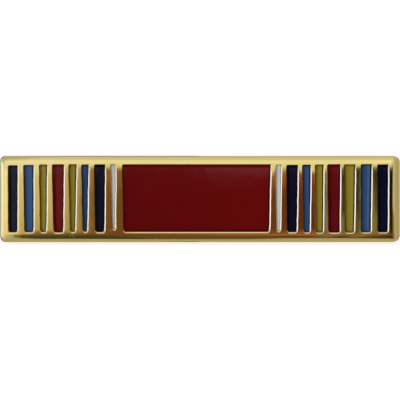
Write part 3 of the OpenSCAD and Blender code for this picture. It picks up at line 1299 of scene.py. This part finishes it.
level = tent["level"] + left * tent["toLeft"] + above * tent["toTop"]
level = level + above.least(0) * left.most(0) * tent["toFoot"] + added(sideways, tent["farRight"])
rim = between(upAngle, tent["rimUp"]) * between(sideways, tent["rimSides"])
leftRim = between(sideways, tent["leftRimSides"]) * before(upAngle, tent["leftRimTop"]) * (1 - rim)
level = level + rim * tent["rimLight"] + leftRim * tent["leftRimLight"]
level = level * (1 - added(tilt, tent["behind"]))
belowTop = before(upAngle, tent["farLeftTop"])
level = level * (1 - before(sideways, tent["farLeft"]) * belowTop)
level = level * (1 + before(sideways, tent["farLeftEnd"]) * belowTop)
dim = before(crosswise, tent["dimSides"]) * between(upAngle, tent["dimUp"]) * tent["dimShare"]
corner = before(sideways, tent["cornerSides"]) * before(upAngle, tent["cornerEnd"])
level = level * (1 - dim.most(corner * added(upAngle, tent["cornerUp"])))
frontTop = rising(upAngle, *tent["frontTop"])
front = upAngle.between(*tent["frontSlopeEnds"]) * tent["frontSlope"] + tent["front"]
front = front + frontTop * tent["frontTopLight"] + added(upAngle, tent["frontLine"])
front = front + before(sideways, tent["frontLeft"]) * between(upAngle, tent["frontLeftUp"])
aside = rising(tilt, *tent["frontReach"])
level = eased(front, level, aside)
rightward = rising(sideways, *tent["rightTintSides"])
frontLeft = before(sideways, tent["frontLeftSides"])
frontLow = rising(downAngle, *tent["frontLow"])
key = window(sideways, tent["keySides"]) * window(upAngle, tent["keyUp"])
spot = window(sideways, tent["spotSides"]) * window(upAngle, tent["spotUp"])

topEdge = gap["topEdge"] - window(sideways, gap["topDip"]) * gap["topDipDepth"]
topEdge = topEdge + added(sideways, gap["topStep"]) + added(sideways, gap["topRise"])
bottom = gap["bottom"] + before(crosswise, gap["bottomLeft"]) + before(crosswise, gap["bottomEnd"])
bottom = bottom + added(crosswise, gap["bottomRight"]) + added(crosswise, gap["bottomFar"])
inSight = before(sideways - before(upAngle, gap["rightEdgeLow"]), gap["rightEdge"])
inSight = inSight * rising(upAngle - bottom, *gap["bottomSoft"])
hole = rising(sideways, *gap["leftEdge"]) * before(upAngle - topEdge, gap["topSoft"])
slopeStart, slope = gap["lowSlope"]
lowEdge = (sideways - slopeStart).between(-gap["lowSlopeReach"], 0) * slope
lowHole = rising(crosswise, *gap["lowLeftEdge"]) * before(upAngle - lowEdge, gap["lowEdge"])
hole = hole.most(lowHole) * inSight

ramp = addNode(studio, "ShaderNodeValToRGB")
firstAngle, lastAngle = opening[0][0], opening[-1][0]
feed(studio, ramp.inputs[0], (sideways - firstAngle) / (lastAngle - firstAngle))
stops = ramp.color_ramp.elements
for angle, _ in opening[1:-1]:
    stops.new((angle - firstAngle) / (lastAngle - firstAngle))
for stop, (angle, colour) in zip(stops, opening):
    stop.position = (angle - firstAngle) / (lastAngle - firstAngle)
    stop.color = (*colour, 1)
glow = gap["glowLeft"] + added(sideways, gap["glowMiddle"])
glow = glow + added(sideways, gap["glowRight"]) + added(sideways, gap["glowFar"])
glow = 1 + rising(upAngle, *gap["glow"]) * glow
floorMix = rising(sideways, *gap["floorMix"])
below = rising(downAngle, *gap["floorStartLeft"])
below = eased(below, rising(downAngle, *gap["floorStartRight"]), floorMix)
floorSide = before(upAngle - bottom, gap["floorSideSoft"])
lowTint = between(upAngle, gap["lowTintUp"]) * rising(sideways, *gap["lowTintSides"])
lowTint = lowTint * (1 - added(sideways, gap["lowTintEnd"]))
lowSide = between(sideways, gap["lowSide"]).most(between(sideways, gap["lowSideFar"]))
lowSide = lowSide * between(upAngle, gap["lowSideUp"])
channels = []
for i, inside in enumerate(partsOf(studio, ramp.outputs[0])):
    inside = inside * glow + lowSide * gap["lowSideLight"][i]
    inside = eased(inside, gap["lowTint"][i], lowTint)
    inside = eased(inside, eased(gap["floorLeft"][i], gap["floorRight"][i], floorMix), below)
    nearTint = eased(tent["frontTint"][i], tent["frontLowTint"][i], frontLow)
    topTint = eased(tent["frontTopTint"][i], tent["frontLeftTint"][i], frontLeft)
    nearTint = eased(nearTint, topTint, frontTop)
    tint = eased(nearTint, eased(tent["tint"][i], tent["rightTint"][i], rightward), aside)
    outside = level * tint + key * tent["key"][i] + spot * tent["spot"][i]
    outside = eased(outside, gap["floorSide"][i], floorSide)
    channels.append(eased(outside, inside, hole))
rays = addNode(studio, "ShaderNodeLightPath")
plain = addNode(studio, "ShaderNodeMix", {"data_type": "VECTOR"})
factor, vectorA, vectorB = (plain.inputs[i] for i in (0, 4, 5))
feed(studio, factor, rays.outputs["Is Camera Ray"])
feed(studio, vectorA, vector(studio, *channels))
feed(studio, vectorB, (stage["backdrop"],) * 3)
strength = eased(1, tent["diffuseShare"], Term(studio, rays.outputs["Is Diffuse Ray"]))
background = addNode(studio, "ShaderNodeBackground", Strength=strength, Color=plain.outputs[1])
addNode(studio, "ShaderNodeOutputWorld", Surface=background.outputs[0])

sight = bpy.data.cameras.new("sight")
sight.sensor_width = stage["sensor"]
sight.lens = stage["sensor"] * stage["cameraDistance"] / stage["frameWidth"]
sight.clip_start, sight.clip_end = stage["cameraReach"]
eye = bpy.data.objects.new("eye", sight)
scene.collection.objects.link(eye)
outlineY = bar["bevelDrop"] - faceDepth
picture = stage["picture"]
centreZ = barMiddle - (picture / 2 - stage["pictureRow"]) * stage["frameWidth"] / picture
eye.location = barToRoom @ Vector((0, outlineY - stage["cameraDistance"], centreZ))
eye.rotation_mode = "QUATERNION"
eye.rotation_quaternion = backwards.to_track_quat("-Z", "Y")
scene.camera = eye
scene.view_settings.view_transform = "Standard"

# The lamp stands to the left and above. Only matt surfaces see it. Millimetres.
lamp = {
    "towards": (-0.72, 0.42, 0.62),  # left, up and out of the face
    "distance": 300.0,
    "size": 110.0,
    "power": 0.4,
}
softLight = bpy.data.lights.new("softLamp", "AREA")
softLight.shape = "DISK"
softLight.size = lamp["size"] * millimetre
softLight.energy = lamp["power"]
lampPiece = bpy.data.objects.new("softLamp", softLight)
scene.collection.objects.link(lampPiece)
aimX, aimUp, aimOut = lamp["towards"]
aim = Vector((aimX, -aimOut, aimUp)).normalized()
lampPiece.location = barToRoom @ (aim * lamp["distance"] + Vector((0, 0, barMiddle)))
lampPiece.rotation_mode = "QUATERNION"
lampPiece.rotation_quaternion = (turn.to_3x3() @ aim).to_track_quat("Z", "Y")
lampPiece.visible_glossy = False

print("stage set")
